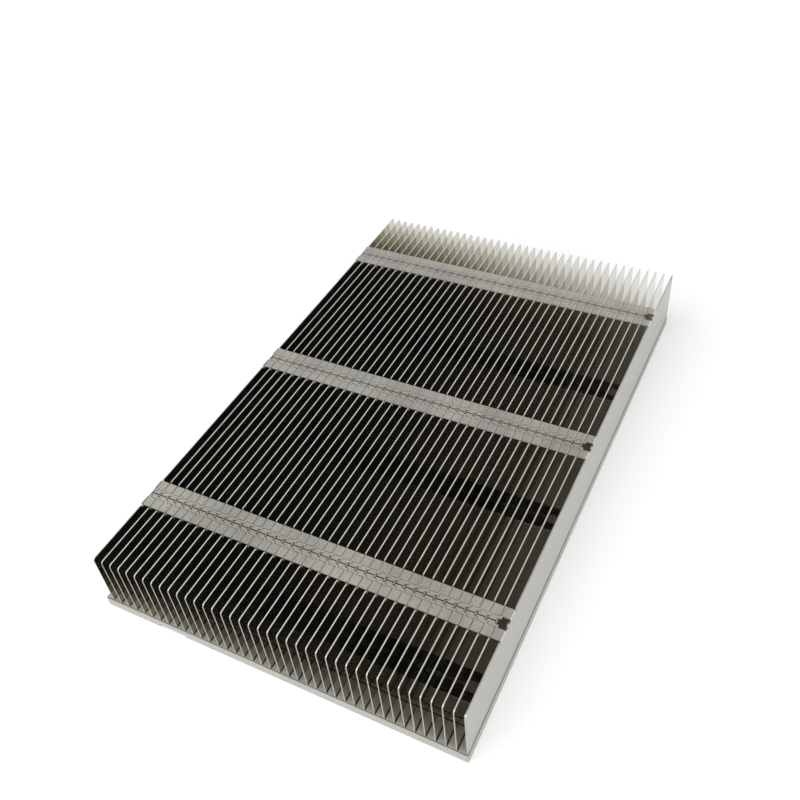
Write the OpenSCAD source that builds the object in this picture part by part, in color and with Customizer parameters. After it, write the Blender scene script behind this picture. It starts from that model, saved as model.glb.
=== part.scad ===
// Stacked folded-fin heat sink.
// Forty sheet-metal fins stand side by side on a flat base plate. Each fin is folded to the left at
// its foot, where it is soldered down, and again at three tabs along its top edge. Every tab reaches
// across the air channel to the next fin on its left and locks there: two prongs pass over that
// fin's top edge and lie in the stepped window of its own tab.
// The origin is at the middle of the underside. Fins run along Y and are stacked along X, +Z is up.

/* [Fin sheet] */
// Number of folded fins
fin_count = 40; // [12:1:50]
// Distance from one fin to the next
fin_pitch = 2.5; // [2.4:0.1:4]
// Thickness of the fin sheet
sheet_t = 0.3; // [0.2:0.05:0.5]
// Height of a fin, from the top of the base plate to its own top
fin_height = 17; // [10:0.5:30]
// Length of a fin, front to back
fin_length = 159.6; // [110:0.2:220]
// Radius on the inside of every fold
fold_radius = 0.1; // [0.05:0.05:0.25]
// Radius of the two upper corners of a fin
corner_radius = 0.8; // [0.2:0.1:2]
// Gap between the edge of a foot and the fin beside it
foot_gap = 0.2; // [0.05:0.05:0.4]

/* [Top tabs] */
// Length of a tab along the fin
tab_length = 8.4; // [6:0.2:14]
// Distance from the end of a fin to the middle of its outer tabs
tab_inset = 23; // [12:0.5:35]
// Gap between the edge of a tab and the fin beside it
tab_gap = 0.1; // [0.05:0.05:0.3]
// Length of the relief slit cut beside each tab
relief_length = 0.4; // [0.2:0.1:1]
// Depth of the relief slit below the top of the fin
relief_depth = 0.9; // [0.8:0.1:2]

/* [Locks] */
// Length of the stepped window along the fin
window_length = 3; // [2.6:0.1:4]
// Width of the wide part of the window, across the air channel
window_width = 1.6; // [1:0.1:1.8]
// Length of the narrow part of the window along the fin
step_length = 1.5; // [1.2:0.1:1.7]
// Clearance round the prongs in a window
lock_gap = 0.1; // [0.05:0.05:0.15]
// Length of the post that stands up between the necks of two prongs
post_length = 0.9; // [0.5:0.1:1.2]
// Gap between the post and the neck of a prong
post_gap = 0.2; // [0.1:0.05:0.3]
// Slit between the two prongs
prong_slit = 0.3; // [0.2:0.05:0.5]
// Gap between the tip of a prong and the next fin
tip_gap = 0.2; // [0.1:0.05:0.4]

/* [Base plate] */
// Thickness of the base plate
base_thickness = 3; // [2:0.25:8]
// How far the base plate stands out past the leftmost foot and the rightmost fin
ledge_side = 0.1; // [0:0.1:6]
// How far the base plate stands out past the fins at the front and at the back
ledge_end = 0.2; // [0:0.1:6]

/* [Underside recess] */
// Distance from the left side of the base plate to the recess in its front edge
recess_offset = 16.5; // [5:0.5:20]
// Width of the recess
recess_width = 8; // [3:0.5:12]
// Depth of the recess, up from the underside
recess_depth = 1.1; // [0.5:0.1:1.5]
// How far the recess runs in from the front edge
recess_length = 10; // [3:0.5:40]
// Radius of the left lip of the recess
recess_lip_radius = 0.7; // [0.2:0.1:1]

/* [Hidden] */
FIN_COLOUR = [0.76, 0.76, 0.74];
BASE_COLOUR = [0.68, 0.68, 0.66];
// How far a cut runs past the face that it opens
over = 1;
// Facets of a round corner or fold
$fn = 32;

// Outside radius of a fold, which is also the height that it takes up
fold_outer = fold_radius + sheet_t;
// Length of sheet past a bend that the fold and the wall, foot or tab have in common
fold_lap = sheet_t / 4;
// Reach of a foot and of a tab to the left of their own fin
foot_reach = fin_pitch - sheet_t - foot_gap;
tab_reach = fin_pitch - sheet_t - tab_gap;
// Reach of a prong's wide part and of its tip past the fin that it crosses
prong_reach = window_width - lock_gap;
tip_reach = fin_pitch - sheet_t - tip_gap;
// Middles of the tabs, measured from the front of the fin
tab_middles = [tab_inset, fin_length / 2, fin_length - tab_inset];
// Length of a tab's fold on each side of its window
fold_length = (tab_length - window_length) / 2;

pack_width = (fin_count - 1) * fin_pitch + sheet_t;
base_width = foot_reach + pack_width + 2 * ledge_side;
base_length = fin_length + 2 * ledge_end;
base_left = -base_width / 2;
base_front = -base_length / 2;
// Left face of the leftmost fin
pack_left = base_left + ledge_side + foot_reach;

function fin_name(i) = str("fin_", i < 10 ? "0" : "", i);

// A section in X and Z carried along Y, from y = 0 to y = length
module along_y(length) {
    translate([0, length, 0]) rotate([90, 0, 0]) linear_extrude(length) children();
}

// What rounding takes off a square corner that lies at the origin, with its material up and right
module corner_waste(radius) {
    difference() {
        translate([-over, -over]) square(radius + over);
        translate([radius, radius]) circle(radius);
    }
}

// Section of a fold in X and Z, in which a sheet turns from upright, between x = 0 and x = sheet_t, to
// flat and pointing left. The outside of the flat part is at y = 0. Both legs run on for a lap past
// the bend, so that they share some metal with the sheet that they join.
module fold_section() {
    difference() {
        translate([-fold_radius - fold_lap, -fold_outer - fold_lap]) {
            square([fold_outer + fold_lap, fold_outer + fold_lap]);
        }
        translate([sheet_t, 0]) rotate(180) corner_waste(fold_outer);
        difference() {
            translate([-fold_outer - over, -fold_outer - over]) {
                square([fold_outer + over, fold_radius + over]);
            }
            translate([0, -sheet_t]) rotate(180) corner_waste(fold_radius);
        }
    }
}

// What the wall leaves out at a tab: room for the fold on both sides of a post, which stands up
// between the two prongs that cross it, and a deeper relief slit at each end
module tab_gate() {
    for (side = [0, 1]) {
        mirror([side, 0]) {
            gate_start = post_length / 2;
            gate_end = tab_length / 2 + relief_length;
            translate([gate_start, -fold_outer]) square([gate_end - gate_start, fold_outer + over]);
            translate([tab_length / 2, -relief_depth]) square([relief_length, relief_depth + over]);
        }
    }
}

// A fin's wall seen from its right side, as y along the fin and z up
module wall_outline() {
    difference() {
        translate([0, fold_outer]) square([fin_length, fin_height - fold_outer]);
        translate([0, fin_height]) mirror([0, 1]) corner_waste(corner_radius);
        translate([fin_length, fin_height]) rotate(180) corner_waste(corner_radius);
        for (middle = tab_middles) {
            translate([middle, fin_height]) tab_gate();
        }
    }
}

module wall() {
    rotate([90, 0, 90]) linear_extrude(sheet_t) wall_outline();
}

// The foot, folded left along the whole fin, with its underside at z = 0
module foot() {
    along_y(fin_length) {
        mirror([0, 1]) fold_section();
        translate([-foot_reach, 0]) square([foot_reach - fold_radius, sheet_t]);
    }
}

// Stepped window of a tab, in X and Y. It is wide beside its own fin, and narrow towards the next
// one, where it is open to the edge of the tab.
module window_outline() {
    translate([-window_width, -window_length / 2]) square([window_width, window_length]);
    translate([-fin_pitch, -step_length / 2]) square([fin_pitch, step_length]);
}

// The front one of a tab's two prongs, in X and Y. A link joins it to the tab, and its neck passes
// over the next fin. Where it isn't cropped there, it goes on as a wide part and a narrow tip.
module prong_outline(cropped) {
    outer = window_length / 2 - lock_gap;
    link_width = outer - step_length / 2 - lock_gap;
    translate([-fin_pitch, -outer]) square([fin_pitch - tab_reach, link_width]);
    neck_end = fin_pitch + (cropped ? 0 : lock_gap);
    neck_width = outer - post_length / 2 - post_gap;
    translate([-neck_end, -outer]) square([neck_end - fin_pitch + sheet_t, neck_width]);
    if (!cropped) {
        wide_end = fin_pitch + prong_reach;
        translate([-wide_end, -outer]) square([wide_end - neck_end, outer - prong_slit / 2]);
        tip_end = fin_pitch + tip_reach;
        tip_outer = step_length / 2 - lock_gap;
        translate([-tip_end, -tip_outer]) square([tip_end - wide_end, tip_outer - prong_slit / 2]);
    }
}

// The flat part of a tab with its window and prongs, with its top at z = 0 and its lock at y = 0
module tab_flat(cropped) {
    translate([0, 0, -sheet_t]) linear_extrude(sheet_t) {
        difference() {
            translate([-tab_reach, -tab_length / 2]) square([tab_reach - fold_radius, tab_length]);
            window_outline();
        }
        prong_outline(cropped);
        mirror([0, 1]) prong_outline(cropped);
    }
}

// The two stretches of fold that carry a tab, in front of its window and behind it
module tab_folds() {
    for (start = [-tab_length / 2, window_length / 2]) {
        translate([0, start, 0]) along_y(fold_length) fold_section();
    }
}

// One folded fin. The first one's tabs are cropped flush with its fold, and so are the prongs that
// cross it, which belong to the second one.
module fin(i) {
    color(FIN_COLOUR) translate([pack_left + (i - 1) * fin_pitch, -fin_length / 2, base_thickness]) {
        wall();
        foot();
        for (middle = tab_middles) {
            translate([0, middle, fin_height]) tab_folds();
            if (i > 1) translate([0, middle, fin_height]) tab_flat(i == 2);
        }
    }
}

// Shallow recess in the underside, as x across and z up, with its left end at x = 0
module recess_section() {
    translate([0, -over]) square([recess_width, over + recess_depth]);
    mirror([1, 0]) corner_waste(min(recess_lip_radius, recess_depth));
}

module base_plate() {
    color(BASE_COLOUR) difference() {
        translate([base_left, base_front, 0]) cube([base_width, base_length, base_thickness]);
        translate([base_left + recess_offset, base_front - over, 0]) {
            along_y(over + recess_length) recess_section();
        }
    }
}

base_plate();
for (i = [1:fin_count]) {
    fin(i);
}
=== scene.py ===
"""Finish, a dark bead, light and camera for the stacked folded-fin heat sink.

The forty fins and the base plate come from the frame. The operators below give them their metal, run
a thin dark bead round the feet of the fins, and set the floor, the lamp and the camera.
"""

import math

import bpy
import numpy as np
from bpy.props import FloatProperty, FloatVectorProperty, PointerProperty
from mathutils import Matrix, Vector


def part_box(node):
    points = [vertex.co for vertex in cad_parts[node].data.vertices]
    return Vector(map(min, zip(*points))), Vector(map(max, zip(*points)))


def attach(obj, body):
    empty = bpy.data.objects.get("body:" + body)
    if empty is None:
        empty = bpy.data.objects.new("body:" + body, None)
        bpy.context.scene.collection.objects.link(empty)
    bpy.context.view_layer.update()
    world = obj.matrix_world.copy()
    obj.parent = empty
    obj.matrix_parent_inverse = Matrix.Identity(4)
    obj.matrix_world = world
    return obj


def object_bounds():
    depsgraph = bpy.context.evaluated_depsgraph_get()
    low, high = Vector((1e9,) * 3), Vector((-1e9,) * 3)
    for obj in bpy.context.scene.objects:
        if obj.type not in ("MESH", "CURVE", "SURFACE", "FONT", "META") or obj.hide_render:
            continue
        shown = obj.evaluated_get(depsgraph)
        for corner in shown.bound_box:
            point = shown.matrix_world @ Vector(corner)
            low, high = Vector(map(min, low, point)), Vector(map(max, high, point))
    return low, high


bl_info = {
    "name": "Folded-Fin Heat Sink",
    "version": (1, 0, 0),
    "blender": (4, 5, 0),
    "location": "View3D > Sidebar > Heat Sink",
    "description": "Finishes a stacked folded-fin heat sink and sets its stage",
    "category": "Object",
}

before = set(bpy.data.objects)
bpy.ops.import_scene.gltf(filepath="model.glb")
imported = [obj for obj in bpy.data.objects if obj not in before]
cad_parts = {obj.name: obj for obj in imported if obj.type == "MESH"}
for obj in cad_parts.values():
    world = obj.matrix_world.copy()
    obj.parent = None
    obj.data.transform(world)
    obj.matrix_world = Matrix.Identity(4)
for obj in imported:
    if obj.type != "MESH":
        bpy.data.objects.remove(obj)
CAD_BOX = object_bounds()

MM = 0.001
FIN_NODES = sorted(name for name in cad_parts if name.startswith("fin_"))
PLATE_NODE = "base_plate"
# Cosines from which on a face counts as square to an axis, and as a cut end
SQUARE_ON, CUT_ON = 0.9, 0.7
# How far below the top, or inside the sides, a point still counts as lying on them
SKIN = 0.05 * MM
# Places of the two thin dark lines across a foot, as shares of the reach of its dull part, and half
# of a line's width without and with its soft edge
DARK_LINE_SHARES = (0.8, 1.0)
DARK_LINE_CORE, DARK_LINE_RIM = 0.1 * MM, 0.25 * MM


# ---------------------------------------------------------------------------------------------
# Settings
# ---------------------------------------------------------------------------------------------


class HEATSINK_PG_fins(bpy.types.PropertyGroup):
    """Sizes and colours of the fin sheet"""

    sheet: FloatProperty(
        name="Sheet", description="Thickness of the fin sheet", default=0.3 * MM, unit="LENGTH"
    )
    tab_length: FloatProperty(
        name="Tab Length", description="Length of a top tab along the fin", default=8.4 * MM, unit="LENGTH"
    )
    tab_inset: FloatProperty(
        name="Tab Inset",
        description="Distance from the end of a fin to the middle of its outer tabs",
        default=23 * MM,
        unit="LENGTH",
    )
    wall_colour: FloatVectorProperty(
        name="Wall Colour",
        description="Colour of the bright upright faces of a fin",
        default=(0.62, 0.60, 0.535),
        subtype="COLOR",
    )
    # The outer face of the last fin gets a darker colour than the walls: painted shade, a dimmer reflection
    # of the floor beside it.
    outer_shade_colour: FloatVectorProperty(
        name="Outer Colour",
        description="Colour of the outer face of the last fin",
        default=(0.44, 0.435, 0.415),
        subtype="COLOR",
    )
    tab_colour: FloatVectorProperty(
        name="Tab Colour",
        description="Colour of the tabs along the top",
        default=(0.43, 0.42, 0.375),
        subtype="COLOR",
    )
    foot_colour: FloatVectorProperty(
        name="Foot Colour",
        description="Colour of the feet between the fins",
        default=(0.42, 0.41, 0.36),
        subtype="COLOR",
    )
    # The top edges get a lighter colour than the cut ends of the same sheet: a painted highlight, for the
    # light that falls on them from above.
    top_edge_highlight_colour: FloatVectorProperty(
        name="Top Edge Colour",
        description="Colour of the burnished edge along the top of a fin",
        default=(0.64, 0.63, 0.60),
        subtype="COLOR",
    )
    # The cut ends get a darker colour than the top edges of the same sheet: painted shade on the edges that
    # face the front and the back.
    end_edge_shade_colour: FloatVectorProperty(
        name="End Edge Colour",
        description="Colour of the sheared edges at the ends of fins and tabs",
        default=(0.40, 0.39, 0.36),
        subtype="COLOR",
    )
    # The cut faces inside the windows get a near-black colour: painted shade in the recesses of the windows.
    window_shade_colour: FloatVectorProperty(
        name="Window Colour",
        description="Colour of the cut faces inside the windows of the tabs",
        default=(0.07, 0.068, 0.062),
        subtype="COLOR",
    )
    # Near-black colour of the two thin lines drawn across the feet where their dull part ends
    dark_line_colour: FloatVectorProperty(
        name="Dark Line Colour",
        description="Colour of the two thin stains across the feet where the dull part ends",
        default=(0.05, 0.045, 0.04),
        subtype="COLOR",
    )
    dull_reach: FloatProperty(
        name="Dull Reach",
        description="How far the dull part of the feet runs in from the ends of the fins",
        default=7 * MM,
        unit="LENGTH",
    )
    wall_roughness: FloatProperty(
        name="Wall Roughness",
        description="Roughness of the upright faces of a fin",
        default=0.03,
        min=0,
        max=1,
    )
    tab_roughness: FloatProperty(
        name="Tab Roughness", description="Roughness of the tabs along the top", default=0.5, min=0, max=1
    )


class HEATSINK_PG_dark_bead(bpy.types.PropertyGroup):
    """Size and colour of the dark bead round the feet"""

    height: FloatProperty(
        name="Dark Bead Height",
        description="How far the solder climbs up the feet and the last fin",
        default=0.28 * MM,
        unit="LENGTH",
    )
    # Dark grey colour of the bead at the joint of the feet and the plate
    colour: FloatVectorProperty(
        name="Dark Bead Colour",
        description="Colour of the dull solder",
        default=(0.16, 0.155, 0.14),
        subtype="COLOR",
    )


class HEATSINK_PG_plate(bpy.types.PropertyGroup):
    """Colours and finish of the base plate"""

    # Dark colour of the plate's upper side near both ends: painted shade in the narrow gaps between the feet,
    # with a rougher, less metallic finish
    gap_shade_colour: FloatVectorProperty(
        name="Gap Shade Colour",
        description="Colour of the flux left on top of the plate, between the ends of the feet",
        default=(0.05, 0.047, 0.042),
        subtype="COLOR",
    )
    gap_shade_reach: FloatProperty(
        name="Gap Shade Reach",
        description="How far the flux runs in from the ends of the plate",
        default=7 * MM,
        unit="LENGTH",
    )
    upper_colour: FloatVectorProperty(
        name="Upper Colour",
        description="Colour of the bright upper side of the plate between the feet",
        default=(0.62, 0.60, 0.535),
        subtype="COLOR",
    )
    colour: FloatVectorProperty(
        name="Plate Colour",
        description="Colour of the milled plate",
        default=(0.42, 0.415, 0.385),
        subtype="COLOR",
    )
    roughness: FloatProperty(
        name="Plate Roughness", description="Roughness of the milled plate", default=0.35, min=0, max=1
    )


class HEATSINK_PG_stage(bpy.types.PropertyGroup):
    """Floor, lamp and camera"""

    aim: FloatVectorProperty(
        name="Aim",
        description="Point that the camera looks at",
        default=(-9.3 * MM, 6.7 * MM, 10 * MM),
        subtype="TRANSLATION",
    )
    distance: FloatProperty(
        name="Distance", description="Distance from the camera to its aim", default=263.1 * MM, unit="LENGTH"
    )
    heading: FloatProperty(
        name="Heading",
        description="How far the camera stands round to the right of the front",
        default=math.radians(31.2),
        subtype="ANGLE",
    )
    elevation: FloatProperty(
        name="Elevation",
        description="Height of the camera above the horizon",
        default=math.radians(43.22),
        subtype="ANGLE",
    )
    roll: FloatProperty(
        name="Roll", description="Clockwise lean of the camera", default=math.radians(6.49), subtype="ANGLE"
    )
    lens: FloatProperty(
        name="Lens",
        description="Focal length on a sensor 36 mm wide",
        default=40.57,
        subtype="DISTANCE_CAMERA",
    )
    paper_colour: FloatVectorProperty(
        name="Paper Colour",
        description="Colour of the floor and its sweep",
        default=(0.93, 0.93, 0.93),
        subtype="COLOR",
    )
    room_light: FloatProperty(
        name="Room Light", description="Brightness of the room above the sweep", default=0.19, min=0
    )
    lamp_light: FloatProperty(
        name="Lamp Light", description="Brightness of the face of the overhead lamp", default=1.9, min=0
    )


# ---------------------------------------------------------------------------------------------
# Node helpers
# ---------------------------------------------------------------------------------------------


def place(tree, kind, **settings):
    """Adds a node of a kind and sets its properties."""
    node = tree.nodes.new(kind)
    for name, value in settings.items():
        setattr(node, name, value)
    return node


def feed(tree, socket, value):
    """Gives a socket a link where the value is a socket, and a plain number or colour otherwise."""
    if isinstance(value, bpy.types.NodeSocket):
        tree.links.new(value, socket)
    else:
        socket.default_value = value


def maths(tree, operation, *values):
    """A Math node's result."""
    node = place(tree, "ShaderNodeMath", operation=operation)
    for socket, value in zip(node.inputs, values):
        feed(tree, socket, value)
    return node.outputs[0]


def product(tree, first, *others):
    """All values multiplied."""
    for other in others:
        first = maths(tree, "MULTIPLY", first, other)
    return first


def off_centre(tree, value, centre):
    """How far a value lies from a centre."""
    return maths(tree, "ABSOLUTE", maths(tree, "SUBTRACT", value, centre))


def split(tree, vector):
    """The x, y and z of a vector."""
    node = place(tree, "ShaderNodeSeparateXYZ")
    feed(tree, node.inputs[0], vector)
    return node.outputs


def spread(tree, value, low, high, to_low, to_high):
    """A value carried from one range to another, and held at its ends."""
    node = place(tree, "ShaderNodeMapRange")
    for socket, item in zip(node.inputs, (value, low, high, to_low, to_high)):
        feed(tree, socket, item)
    return node.outputs[0]


def blend_values(tree, factor, first, second):
    """Two values mixed by a factor."""
    node = place(tree, "ShaderNodeMix", data_type="FLOAT")
    for socket, value in zip(node.inputs[:1] + node.inputs[2:4], (factor, first, second)):
        feed(tree, socket, value)
    return node.outputs[0]


def blend_colours(tree, how, factor, first, second):
    """Two colours mixed by a factor."""
    node = place(tree, "ShaderNodeMix", data_type="RGBA", blend_type=how)
    feed(tree, node.inputs[0], factor)
    for socket, value in ((node.inputs[6], first), (node.inputs[7], second)):
        feed(tree, socket, value if isinstance(value, bpy.types.NodeSocket) else (*value, 1.0))
    return node.outputs[2]


def new_group(name, inputs, outputs):
    """An empty shader node group with named float or vector sockets, and its two end nodes."""
    group = bpy.data.node_groups.new(name, "ShaderNodeTree")
    for title, kind, value in inputs:
        socket = group.interface.new_socket(title, in_out="INPUT", socket_type=kind)
        if value is not None:
            socket.default_value = value
    for title, kind in outputs:
        group.interface.new_socket(title, in_out="OUTPUT", socket_type=kind)
    return group, place(group, "NodeGroupInput"), place(group, "NodeGroupOutput")


def rolled_grain():
    """Mottling of rolled sheet: fine grains, soft patches and faint lines along Y, as a factor near 1
    and as a height for a bump. Scales are grains per metre."""
    name = "Rolled Grain"
    if name in bpy.data.node_groups:
        return bpy.data.node_groups[name]
    tree, source, result = new_group(
        name,
        [
            ("Vector", "NodeSocketVector", None),
            ("Grain Scale", "NodeSocketFloat", 2500.0),
            ("Patch Scale", "NodeSocketFloat", 60.0),
            ("Line Scale", "NodeSocketFloat", 4000.0),
            ("Strength", "NodeSocketFloat", 0.1),
        ],
        [("Factor", "NodeSocketFloat"), ("Height", "NodeSocketFloat")],
    )
    grain = place(tree, "ShaderNodeTexNoise", noise_dimensions="3D")
    patch = place(tree, "ShaderNodeTexNoise", noise_dimensions="3D")
    lines = place(tree, "ShaderNodeTexNoise", noise_dimensions="3D")
    line_stretch, patch_share, line_share = 50.0, 0.6, 0.4
    stretch = place(tree, "ShaderNodeMapping", vector_type="POINT")
    stretch.inputs["Scale"].default_value = (1.0, 1.0 / line_stretch, 1.0)
    feed(tree, stretch.inputs["Vector"], source.outputs["Vector"])
    for noise, vector, scale, detail in (
        (grain, source.outputs["Vector"], source.outputs["Grain Scale"], 3.0),
        (patch, source.outputs["Vector"], source.outputs["Patch Scale"], 2.0),
        (lines, stretch.outputs["Vector"], source.outputs["Line Scale"], 1.0),
    ):
        feed(tree, noise.inputs["Vector"], vector)
        feed(tree, noise.inputs["Scale"], scale)
        feed(tree, noise.inputs["Detail"], detail)
    total = maths(tree, "ADD", grain.outputs[0], product(tree, patch.outputs[0], patch_share))
    total = maths(tree, "ADD", total, product(tree, lines.outputs[0], line_share))
    centred = maths(tree, "SUBTRACT", total, 1.0)
    factor = maths(tree, "MULTIPLY_ADD", centred, source.outputs["Strength"], 1.0)
    feed(tree, result.inputs["Factor"], factor)
    feed(tree, result.inputs["Height"], total)
    return tree


def bare_material(name):
    """A material with nothing but an output in its node tree, and the output's Surface socket."""
    material = bpy.data.materials.new(name)
    material.use_nodes = True
    material.node_tree.nodes.clear()
    output = place(material.node_tree, "ShaderNodeOutputMaterial")
    return material, output.inputs["Surface"]


def new_material(name):
    """A material with a Principled BSDF, its Texture Coordinate node and its grain."""
    material, surface = bare_material(name)
    tree = material.node_tree
    shader = place(tree, "ShaderNodeBsdfPrincipled")
    feed(tree, surface, shader.outputs[0])
    where = place(tree, "ShaderNodeTexCoord")
    grain = place(tree, "ShaderNodeGroup")
    grain.node_tree = rolled_grain()
    feed(tree, grain.inputs["Vector"], where.outputs["Object"])
    return material, shader, where, grain


def toned(tree, colour, tone):
    """A colour multiplied by a tone near 1."""
    grey = place(tree, "ShaderNodeCombineColor")
    for socket in grey.inputs[:3]:
        feed(tree, socket, tone)
    return blend_colours(tree, "MULTIPLY", 1.0, colour, grey.outputs[0])


def emboss(tree, shader, height, strength, distance):
    """Bumps up to a distance high on a shader, from a height that changes over the surface."""
    bump = place(tree, "ShaderNodeBump")
    bump.inputs["Strength"].default_value = strength
    bump.inputs["Distance"].default_value = distance
    feed(tree, bump.inputs["Height"], height)
    feed(tree, shader.inputs["Normal"], bump.outputs[0])


def dress(node, material):
    """Puts a material in a CAD node's slots."""
    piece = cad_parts[node]
    if not piece.material_slots:
        raise RuntimeError(f"{node} has no material slot")
    for slot in piece.material_slots:
        slot.material = material


# ---------------------------------------------------------------------------------------------
# Metal of the fins
# ---------------------------------------------------------------------------------------------


def sheet_masks(tree, position, normal, settings):
    """Masks for the parts of a folded fin, from where a point lies and how it faces, and the number of
    the fin that it belongs to. What faces up at the top is an edge where it lies over the wall of its
    fin and outside the tabs, and else a tab. The last fin has no such edge. What faces up lower down
    is a foot. What faces to the front or the back is a window where it lies between the ends of a tab,
    and else a cut end. The outer face is the one of the last fin that looks out of the pack."""
    low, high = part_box(FIN_NODES[1])
    first_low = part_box(FIN_NODES[0])[0]
    last_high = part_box(FIN_NODES[-1])[1]
    pitch = (last_high.x - high.x) / (len(FIN_NODES) - 2)
    sheet = settings.sheet
    x, y, z = split(tree, position)
    across, lengthways, upwards = split(tree, normal)

    # Where the point lies across the pack, in pitches counted from the right
    number = maths(tree, "DIVIDE", maths(tree, "SUBTRACT", last_high.x + 0.5 * pitch, x), pitch)
    off_wall = off_centre(tree, maths(tree, "FRACT", number), 0.5 + 0.5 * sheet / pitch)
    over_wall = maths(tree, "LESS_THAN", off_wall, 0.52 * sheet / pitch)
    before_last = maths(tree, "LESS_THAN", x, last_high.x - 1.5 * sheet)

    # Where it lies along its fin, from the middle, from the nearest tab and from the nearest end
    half_length = (high.y - low.y) / 2
    from_middle = off_centre(tree, y, (low.y + high.y) / 2)
    from_outer_tab = off_centre(tree, from_middle, half_length - settings.tab_inset)
    from_tab = maths(tree, "MINIMUM", from_middle, from_outer_tab)
    from_end = maths(tree, "SUBTRACT", half_length, from_middle)
    outside_tab = maths(tree, "GREATER_THAN", from_tab, 0.5 * settings.tab_length)
    inside_tab = maths(tree, "LESS_THAN", from_tab, 0.49 * settings.tab_length)

    up = maths(tree, "GREATER_THAN", upwards, SQUARE_ON)
    top = product(tree, up, maths(tree, "GREATER_THAN", z, last_high.z - SKIN))
    top_edge = product(tree, top, over_wall, outside_tab, before_last)
    foot = maths(tree, "SUBTRACT", up, top)
    dull_start, dull_end = (share * settings.dull_reach for share in DARK_LINE_SHARES)
    # Two thin dark lines across the feet, where their dull part ends
    dark_line = 0.0
    for dark_line_place in (dull_start, dull_end):
        off_dark_line = off_centre(tree, from_end, dark_line_place)
        dark_line = maths(tree, "MAXIMUM", dark_line, spread(tree, off_dark_line, DARK_LINE_CORE, DARK_LINE_RIM, 1.0, 0.0))
    cut = maths(tree, "GREATER_THAN", maths(tree, "ABSOLUTE", lengthways), CUT_ON)
    window = product(tree, cut, inside_tab)
    sideways = maths(tree, "GREATER_THAN", maths(tree, "ABSOLUTE", across), SQUARE_ON)
    centre = (first_low.x + last_high.x) / 2
    at_side = maths(tree, "GREATER_THAN", off_centre(tree, x, centre), last_high.x - centre - SKIN)
    return {
        "tab": maths(tree, "SUBTRACT", top, top_edge),
        "foot": product(tree, foot, spread(tree, from_end, dull_start, dull_end, 1.0, 0.0)),
        "dark_line": product(tree, foot, dark_line),
        "window": window,
        "end": maths(tree, "SUBTRACT", cut, window),
        "top_edge": top_edge,
        "outer": product(tree, sideways, at_side),
        "number": maths(tree, "FLOOR", number),
    }


def fin_metal(settings):
    """Rolled aluminium sheet. Its walls are bright, and its tabs, feet and cut edges are duller. Each
    fin's tabs have a tone of their own. Its colours also hold painted light: a painted highlight on the
    top edges, and painted shade on the cut ends, in the windows and on the outer face of the last fin."""
    material, shader, where, grain = new_material("fin_metal")
    tree = material.node_tree
    masks = sheet_masks(tree, where.outputs["Object"], where.outputs["Normal"], settings)
    wall_grain, tab_grain, tone_range = 0.1, 1.1, 0.05
    feed(tree, grain.inputs["Strength"], spread(tree, masks["tab"], 0.0, 1.0, wall_grain, tab_grain))
    own = place(tree, "ShaderNodeTexWhiteNoise", noise_dimensions="1D")
    feed(tree, own.inputs["W"], masks["number"])
    own_tone = spread(tree, own.outputs["Value"], 0.0, 1.0, 1 - tone_range, 1 + tone_range)
    own_tone = blend_values(tree, masks["tab"], 1.0, own_tone)
    colour, roughness, metallic = settings.wall_colour, settings.wall_roughness, 0.985
    for part, part_colour, part_roughness, part_metallic in (
        # Outer face darker than the walls: painted shade
        ("outer", settings.outer_shade_colour, 0.3, 1.0),
        ("foot", settings.foot_colour, settings.tab_roughness, 0.3),
        # Two thin dark lines across the feet
        ("dark_line", settings.dark_line_colour, settings.tab_roughness, 0.3),
        ("tab", settings.tab_colour, settings.tab_roughness, 0.5),
        # Window faces near black: painted shade in the recesses
        ("window", settings.window_shade_colour, settings.tab_roughness, 0.5),
        # Cut ends darker than the top edges: painted shade
        ("end", settings.end_edge_shade_colour, settings.tab_roughness, 0.5),
        # Top edges lighter than the cut ends: painted highlight
        ("top_edge", settings.top_edge_highlight_colour, settings.tab_roughness, 0.4),
    ):
        colour = blend_colours(tree, "MIX", masks[part], colour, part_colour)
        roughness = blend_values(tree, masks[part], roughness, part_roughness)
        metallic = blend_values(tree, masks[part], metallic, part_metallic)
    tone = product(tree, grain.outputs["Factor"], own_tone)
    feed(tree, shader.inputs["Base Color"], toned(tree, colour, tone))
    feed(tree, shader.inputs["Roughness"], roughness)
    feed(tree, shader.inputs["Metallic"], metallic)
    grained = maths(tree, "MAXIMUM", masks["tab"], masks["outer"])
    emboss(tree, shader, product(tree, grain.outputs["Height"], grained), 0.3, 0.01 * MM)
    return material


class HEATSINK_OT_finish_fins(bpy.types.Operator):
    """Gives every folded fin its rolled faces and sheared edges"""

    bl_idname = "heatsink.finish_fins"
    bl_label = "Finish Fins"

    def execute(self, context):
        material = fin_metal(context.scene.heatsink_fins)
        for node in FIN_NODES:
            dress(node, material)
        return {"FINISHED"}


# ---------------------------------------------------------------------------------------------
# Metal of the base plate
# ---------------------------------------------------------------------------------------------


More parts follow.
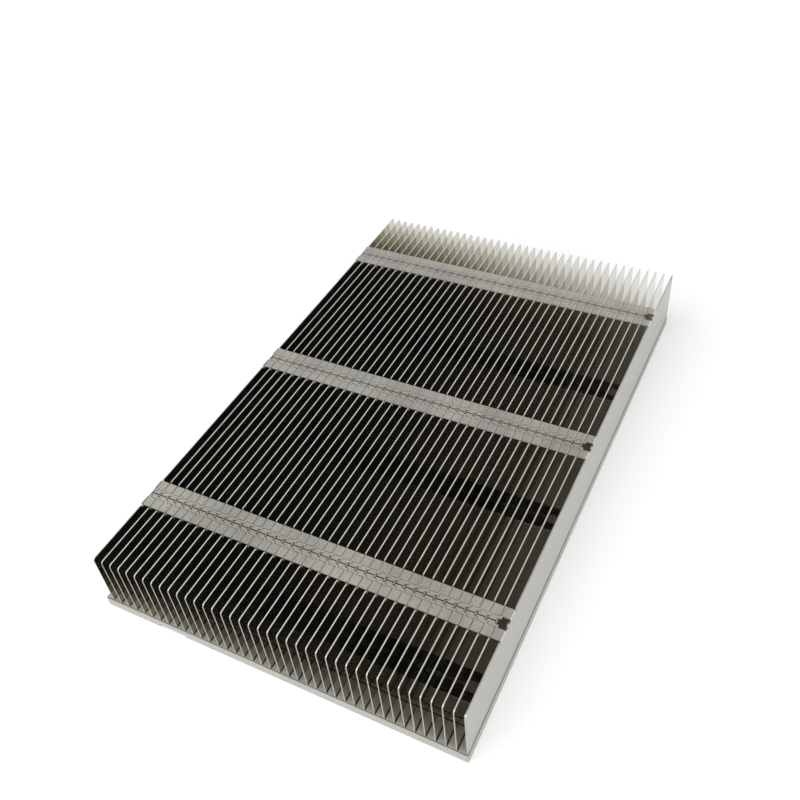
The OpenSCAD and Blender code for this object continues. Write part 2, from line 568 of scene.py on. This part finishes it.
def plate_metal(settings):
    """Milled aluminium plate with a fine, even finish. Its upper side is bright between the feet, and
    near both ends it is painted dark: painted shade in the narrow gaps between the feet."""
    material, shader, where, grain = new_material("base_metal")
    tree = material.node_tree
    grain.inputs["Strength"].default_value = 0.3
    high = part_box(PLATE_NODE)[1]
    along = split(tree, where.outputs["Object"])[1]
    from_end = maths(tree, "SUBTRACT", high.y, maths(tree, "ABSOLUTE", along))
    upper = maths(tree, "GREATER_THAN", split(tree, where.outputs["Normal"])[2], SQUARE_ON)
    # Painted shade: near both ends the upper side, seen only in the narrow gaps between the feet, is darkened
    gap_shaded = product(tree, upper, maths(tree, "LESS_THAN", from_end, settings.gap_shade_reach))
    bright = maths(tree, "SUBTRACT", upper, gap_shaded)
    colour = blend_colours(tree, "MIX", gap_shaded, settings.colour, settings.gap_shade_colour)
    colour = toned(tree, colour, grain.outputs["Factor"])
    feed(tree, shader.inputs["Base Color"], blend_colours(tree, "MIX", bright, colour, settings.upper_colour))
    for title, milled_value, gap_shade_value, bright_value in (
        ("Roughness", settings.roughness, 0.7, 0.03),
        ("Metallic", 0.6, 0.2, 1.0),
    ):
        value = blend_values(tree, gap_shaded, milled_value, gap_shade_value)
        feed(tree, shader.inputs[title], blend_values(tree, bright, value, bright_value))
    emboss(tree, shader, grain.outputs["Height"], 0.2, 0.02 * MM)
    return material


class HEATSINK_OT_finish_base_plate(bpy.types.Operator):
    """Gives the base plate its milled finish"""

    bl_idname = "heatsink.finish_base_plate"
    bl_label = "Finish Base Plate"

    def execute(self, context):
        dress(PLATE_NODE, plate_metal(context.scene.heatsink_plate))
        return {"FINISHED"}


# ---------------------------------------------------------------------------------------------
# Dark bead round the feet
# ---------------------------------------------------------------------------------------------


def new_piece(name, points, quads):
    """A mesh object at the origin from arrays of corner points and of quads."""
    mesh = bpy.data.meshes.new(name)
    mesh.from_pydata(points.tolist(), [], quads.tolist())
    mesh.validate()
    piece = bpy.data.objects.new(name, mesh)
    bpy.context.scene.collection.objects.link(piece)
    return piece


def grid_quads(rows, columns, round_rows, round_columns):
    """Quads between neighbouring points of a grid, closed round where asked."""
    row, column = np.meshgrid(
        np.arange(rows if round_rows else rows - 1),
        np.arange(columns if round_columns else columns - 1),
        indexing="ij",
    )
    after, beside = (row + 1) % rows, (column + 1) % columns
    here, there = row * columns, after * columns
    return np.stack([here + column, there + column, there + beside, here + beside], -1).reshape(-1, 4)


def side_points(corners, per_side):
    """Points at equal steps along the four sides of a rectangle, given by its corners in order."""
    part = np.linspace(0, 1, per_side, endpoint=False)[None, :, None]
    return (corners[:, None] * (1 - part) + np.roll(corners, -1, axis=0)[:, None] * part).reshape(-1, 2)


def dark_bead_ring(height):
    """A hollow fillet carried round the feet. Its section stands on the plate, with its corner at the
    metal of the fins and its outer line near the edge of the plate. Its face is a quarter of an
    ellipse: out = 1 - sin(t) and up = 1 - cos(t), with t from 0 to a quarter turn. Three slow sines of
    the way round make its height uneven."""
    plate_low, plate_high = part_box(PLATE_NODE)
    low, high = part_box(FIN_NODES[0])[0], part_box(FIN_NODES[-1])[1]
    margin, per_side, unevenness = 0.01 * MM, 120, 0.06
    near, far = (
        side_points(np.array([(left, front), (right, front), (right, back), (left, back)]), per_side)
        for left, front, right, back in (
            (low.x, low.y, high.x, high.y),
            (plate_low.x + margin, plate_low.y + margin, plate_high.x - margin, plate_high.y - margin),
        )
    )
    way = np.linspace(0, 2 * np.pi, len(near), endpoint=False)
    uneven = 1 - unevenness * (3 + np.sin(37 * way) + np.sin(61 * way + 1) + np.sin(113 * way + 2))
    turns = np.linspace(0, np.pi / 2, 7)
    out = np.concatenate([[0], 1 - np.sin(turns)])
    up = np.concatenate([[0], 1 - np.cos(turns)])
    flat = near[:, None] + (far - near)[:, None] * out[None, :, None]
    rise = plate_high.z + height * uneven[:, None] * up[None, :]
    points = np.concatenate([flat, rise[..., None]], axis=2)
    return new_piece("dark_bead", points.reshape(-1, 3), grid_quads(*rise.shape, True, True))


def dark_bead_finish(settings):
    """Dull, uneven dark bead."""
    material, shader, _, grain = new_material("dark_bead")
    tree = material.node_tree
    grain.inputs["Strength"].default_value = 1.2
    feed(tree, shader.inputs["Base Color"], toned(tree, settings.colour, grain.outputs["Factor"]))
    shader.inputs["Metallic"].default_value = 0.6
    shader.inputs["Roughness"].default_value = 0.6
    return material


class HEATSINK_OT_run_dark_bead(bpy.types.Operator):
    """Runs a thin dark bead round the feet of the fins"""

    bl_idname = "heatsink.run_solder"
    bl_label = "Run Dark Bead"

    def execute(self, context):
        settings = context.scene.heatsink_solder
        piece = dark_bead_ring(settings.height)
        piece.data.materials.append(dark_bead_finish(settings))
        piece.data.shade_smooth()
        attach(piece, "root")
        return {"FINISHED"}


# ---------------------------------------------------------------------------------------------
# Stage
# ---------------------------------------------------------------------------------------------


def sweep_surface(level):
    """A round floor that curves up into a wall all round. Radius and height follow a profile: flat to
    where the curve starts, then a quarter circle, then straight up. The profile is turned round Z."""
    flat_radius, bend_radius, wall_height, sides = 0.75, 0.25, 0.62, 96
    turns = np.linspace(0, np.pi / 2, 25)
    outer_radius = flat_radius + bend_radius
    radius = np.concatenate([[0.001, 0.2], flat_radius + bend_radius * np.sin(turns), [outer_radius]])
    height = np.concatenate([[0, 0], bend_radius * (1 - np.cos(turns)), [wall_height]]) + level
    around = np.linspace(0, 2 * np.pi, sides, endpoint=False)[:, None]
    heights = np.broadcast_to(height, (sides, len(height)))
    points = np.stack([radius * np.cos(around), radius * np.sin(around), heights], -1)
    quads = grid_quads(sides, len(height), True, False)[:, ::-1]
    return new_piece("floor", points.reshape(-1, 3), quads)


def floor_paper(settings):
    """White paper. The camera and the metal see it a little lighter than the lamp alone makes it, more
    so away from the middle. It is see-through from outside and from below."""
    material, surface = bare_material("floor_paper")
    tree = material.node_tree
    paper = place(tree, "ShaderNodeBsdfDiffuse")
    paper.inputs["Color"].default_value = (*settings.paper_colour, 1.0)
    glow = place(tree, "ShaderNodeEmission")
    rays = place(tree, "ShaderNodeLightPath")
    seen = maths(tree, "MAXIMUM", rays.outputs["Is Camera Ray"], rays.outputs["Is Glossy Ray"])
    seen = maths(tree, "MAXIMUM", seen, rays.outputs["Is Transmission Ray"])
    where = place(tree, "ShaderNodeTexCoord")
    far = place(tree, "ShaderNodeVectorMath", operation="LENGTH")
    feed(tree, far.inputs[0], where.outputs["Object"])
    near_radius, far_radius, near_lift, far_lift = 0.1, 0.6, 0.16, 0.7
    lift = spread(tree, far.outputs["Value"], near_radius, far_radius, near_lift, far_lift)
    feed(tree, glow.inputs["Strength"], product(tree, seen, lift))
    both = place(tree, "ShaderNodeAddShader")
    feed(tree, both.inputs[0], paper.outputs[0])
    feed(tree, both.inputs[1], glow.outputs[0])
    behind = place(tree, "ShaderNodeNewGeometry")
    clear = place(tree, "ShaderNodeBsdfTransparent")
    choice = place(tree, "ShaderNodeMixShader")
    from_behind = behind.outputs["Backfacing"]
    for socket, value in zip(choice.inputs, (from_behind, both.outputs[0], clear.outputs[0])):
        feed(tree, socket, value)
    feed(tree, surface, choice.outputs[0])
    return material


def make_world(settings):
    """An evenly grey room."""
    world = bpy.data.worlds.new("studio")
    bpy.context.scene.world = world
    world.use_nodes = True
    tree = world.node_tree
    tree.nodes.clear()
    air = place(tree, "ShaderNodeBackground")
    air.inputs["Color"].default_value = (1.0, 1.0, 1.0, 1.0)
    air.inputs["Strength"].default_value = settings.room_light
    output = place(tree, "ShaderNodeOutputWorld")
    feed(tree, output.inputs["Surface"], air.outputs[0])


def make_lamp(settings):
    """A wide soft lamp overhead, over the front half of the floor. A face of brightness b and area a
    gives pi * a * b of power."""
    left, right, front, back, level = -1.2, 1.2, -2.0, 0.0, 1.0
    light = bpy.data.lights.new("overhead", "AREA")
    light.shape = "RECTANGLE"
    light.size, light.size_y = right - left, back - front
    light.energy = math.pi * light.size * light.size_y * settings.lamp_light
    lamp = bpy.data.objects.new("overhead", light)
    bpy.context.scene.collection.objects.link(lamp)
    lamp.location = ((left + right) / 2, (front + back) / 2, level)
    lamp.visible_camera = False


def make_camera(settings):
    """A camera at a distance from its aim, given by heading, elevation and roll."""
    data = bpy.data.cameras.new("camera")
    data.sensor_width = 36.0
    data.lens = settings.lens
    data.clip_start = 0.01
    camera = bpy.data.objects.new("camera", data)
    bpy.context.scene.collection.objects.link(camera)
    tilt = math.pi / 2 - settings.elevation
    turn = Matrix.Rotation(settings.heading, 3, "Z") @ Matrix.Rotation(tilt, 3, "X")
    turn = turn @ Matrix.Rotation(-settings.roll, 3, "Z")
    camera.rotation_mode = "QUATERNION"
    camera.rotation_quaternion = turn.to_quaternion()
    camera.location = Vector(settings.aim) + turn @ Vector((0, 0, settings.distance))
    bpy.context.scene.camera = camera


class HEATSINK_OT_set_stage(bpy.types.Operator):
    """Sets the floor, the room, the lamp and the camera"""

    bl_idname = "heatsink.set_stage"
    bl_label = "Set Stage"

    def execute(self, context):
        settings = context.scene.heatsink_stage
        clearance, bounces = 0.02 * MM, 24
        floor = sweep_surface(CAD_BOX[0].z - clearance)
        floor.data.materials.append(floor_paper(settings))
        floor.data.shade_smooth()
        make_world(settings)
        make_lamp(settings)
        make_camera(settings)
        scene = context.scene
        scene.view_settings.view_transform = "Standard"
        scene.cycles.max_bounces = bounces
        scene.cycles.glossy_bounces = bounces
        return {"FINISHED"}


# ---------------------------------------------------------------------------------------------
# Panel and registration
# ---------------------------------------------------------------------------------------------


class HEATSINK_PT_panel(bpy.types.Panel):
    """Steps that finish the heat sink"""

    bl_label = "Heat Sink"
    bl_space_type = "VIEW_3D"
    bl_region_type = "UI"
    bl_category = "Heat Sink"

    def draw(self, context):
        for operator in OPERATORS:
            self.layout.operator(operator.bl_idname)
        for title in SETTINGS:
            group = getattr(context.scene, title)
            box = self.layout.box()
            for name in group.bl_rna.properties.keys():
                if name not in ("rna_type", "name"):
                    box.prop(group, name)


SETTINGS = {
    "heatsink_fins": HEATSINK_PG_fins,
    "heatsink_solder": HEATSINK_PG_dark_bead,
    "heatsink_plate": HEATSINK_PG_plate,
    "heatsink_stage": HEATSINK_PG_stage,
}
OPERATORS = (
    HEATSINK_OT_finish_fins,
    HEATSINK_OT_finish_base_plate,
    HEATSINK_OT_run_dark_bead,
    HEATSINK_OT_set_stage,
)
CLASSES = (*SETTINGS.values(), *OPERATORS, HEATSINK_PT_panel)


def register():
    for cls in CLASSES:
        bpy.utils.register_class(cls)
    for title, group in SETTINGS.items():
        setattr(bpy.types.Scene, title, PointerProperty(type=group))


def unregister():
    for title in SETTINGS:
        delattr(bpy.types.Scene, title)
    for cls in reversed(CLASSES):
        bpy.utils.unregister_class(cls)


def main():
    register()
    bpy.ops.heatsink.finish_fins()
    bpy.ops.heatsink.finish_base_plate()
    bpy.ops.heatsink.run_solder()
    bpy.ops.heatsink.set_stage()


if __name__ == "__main__":
    main()
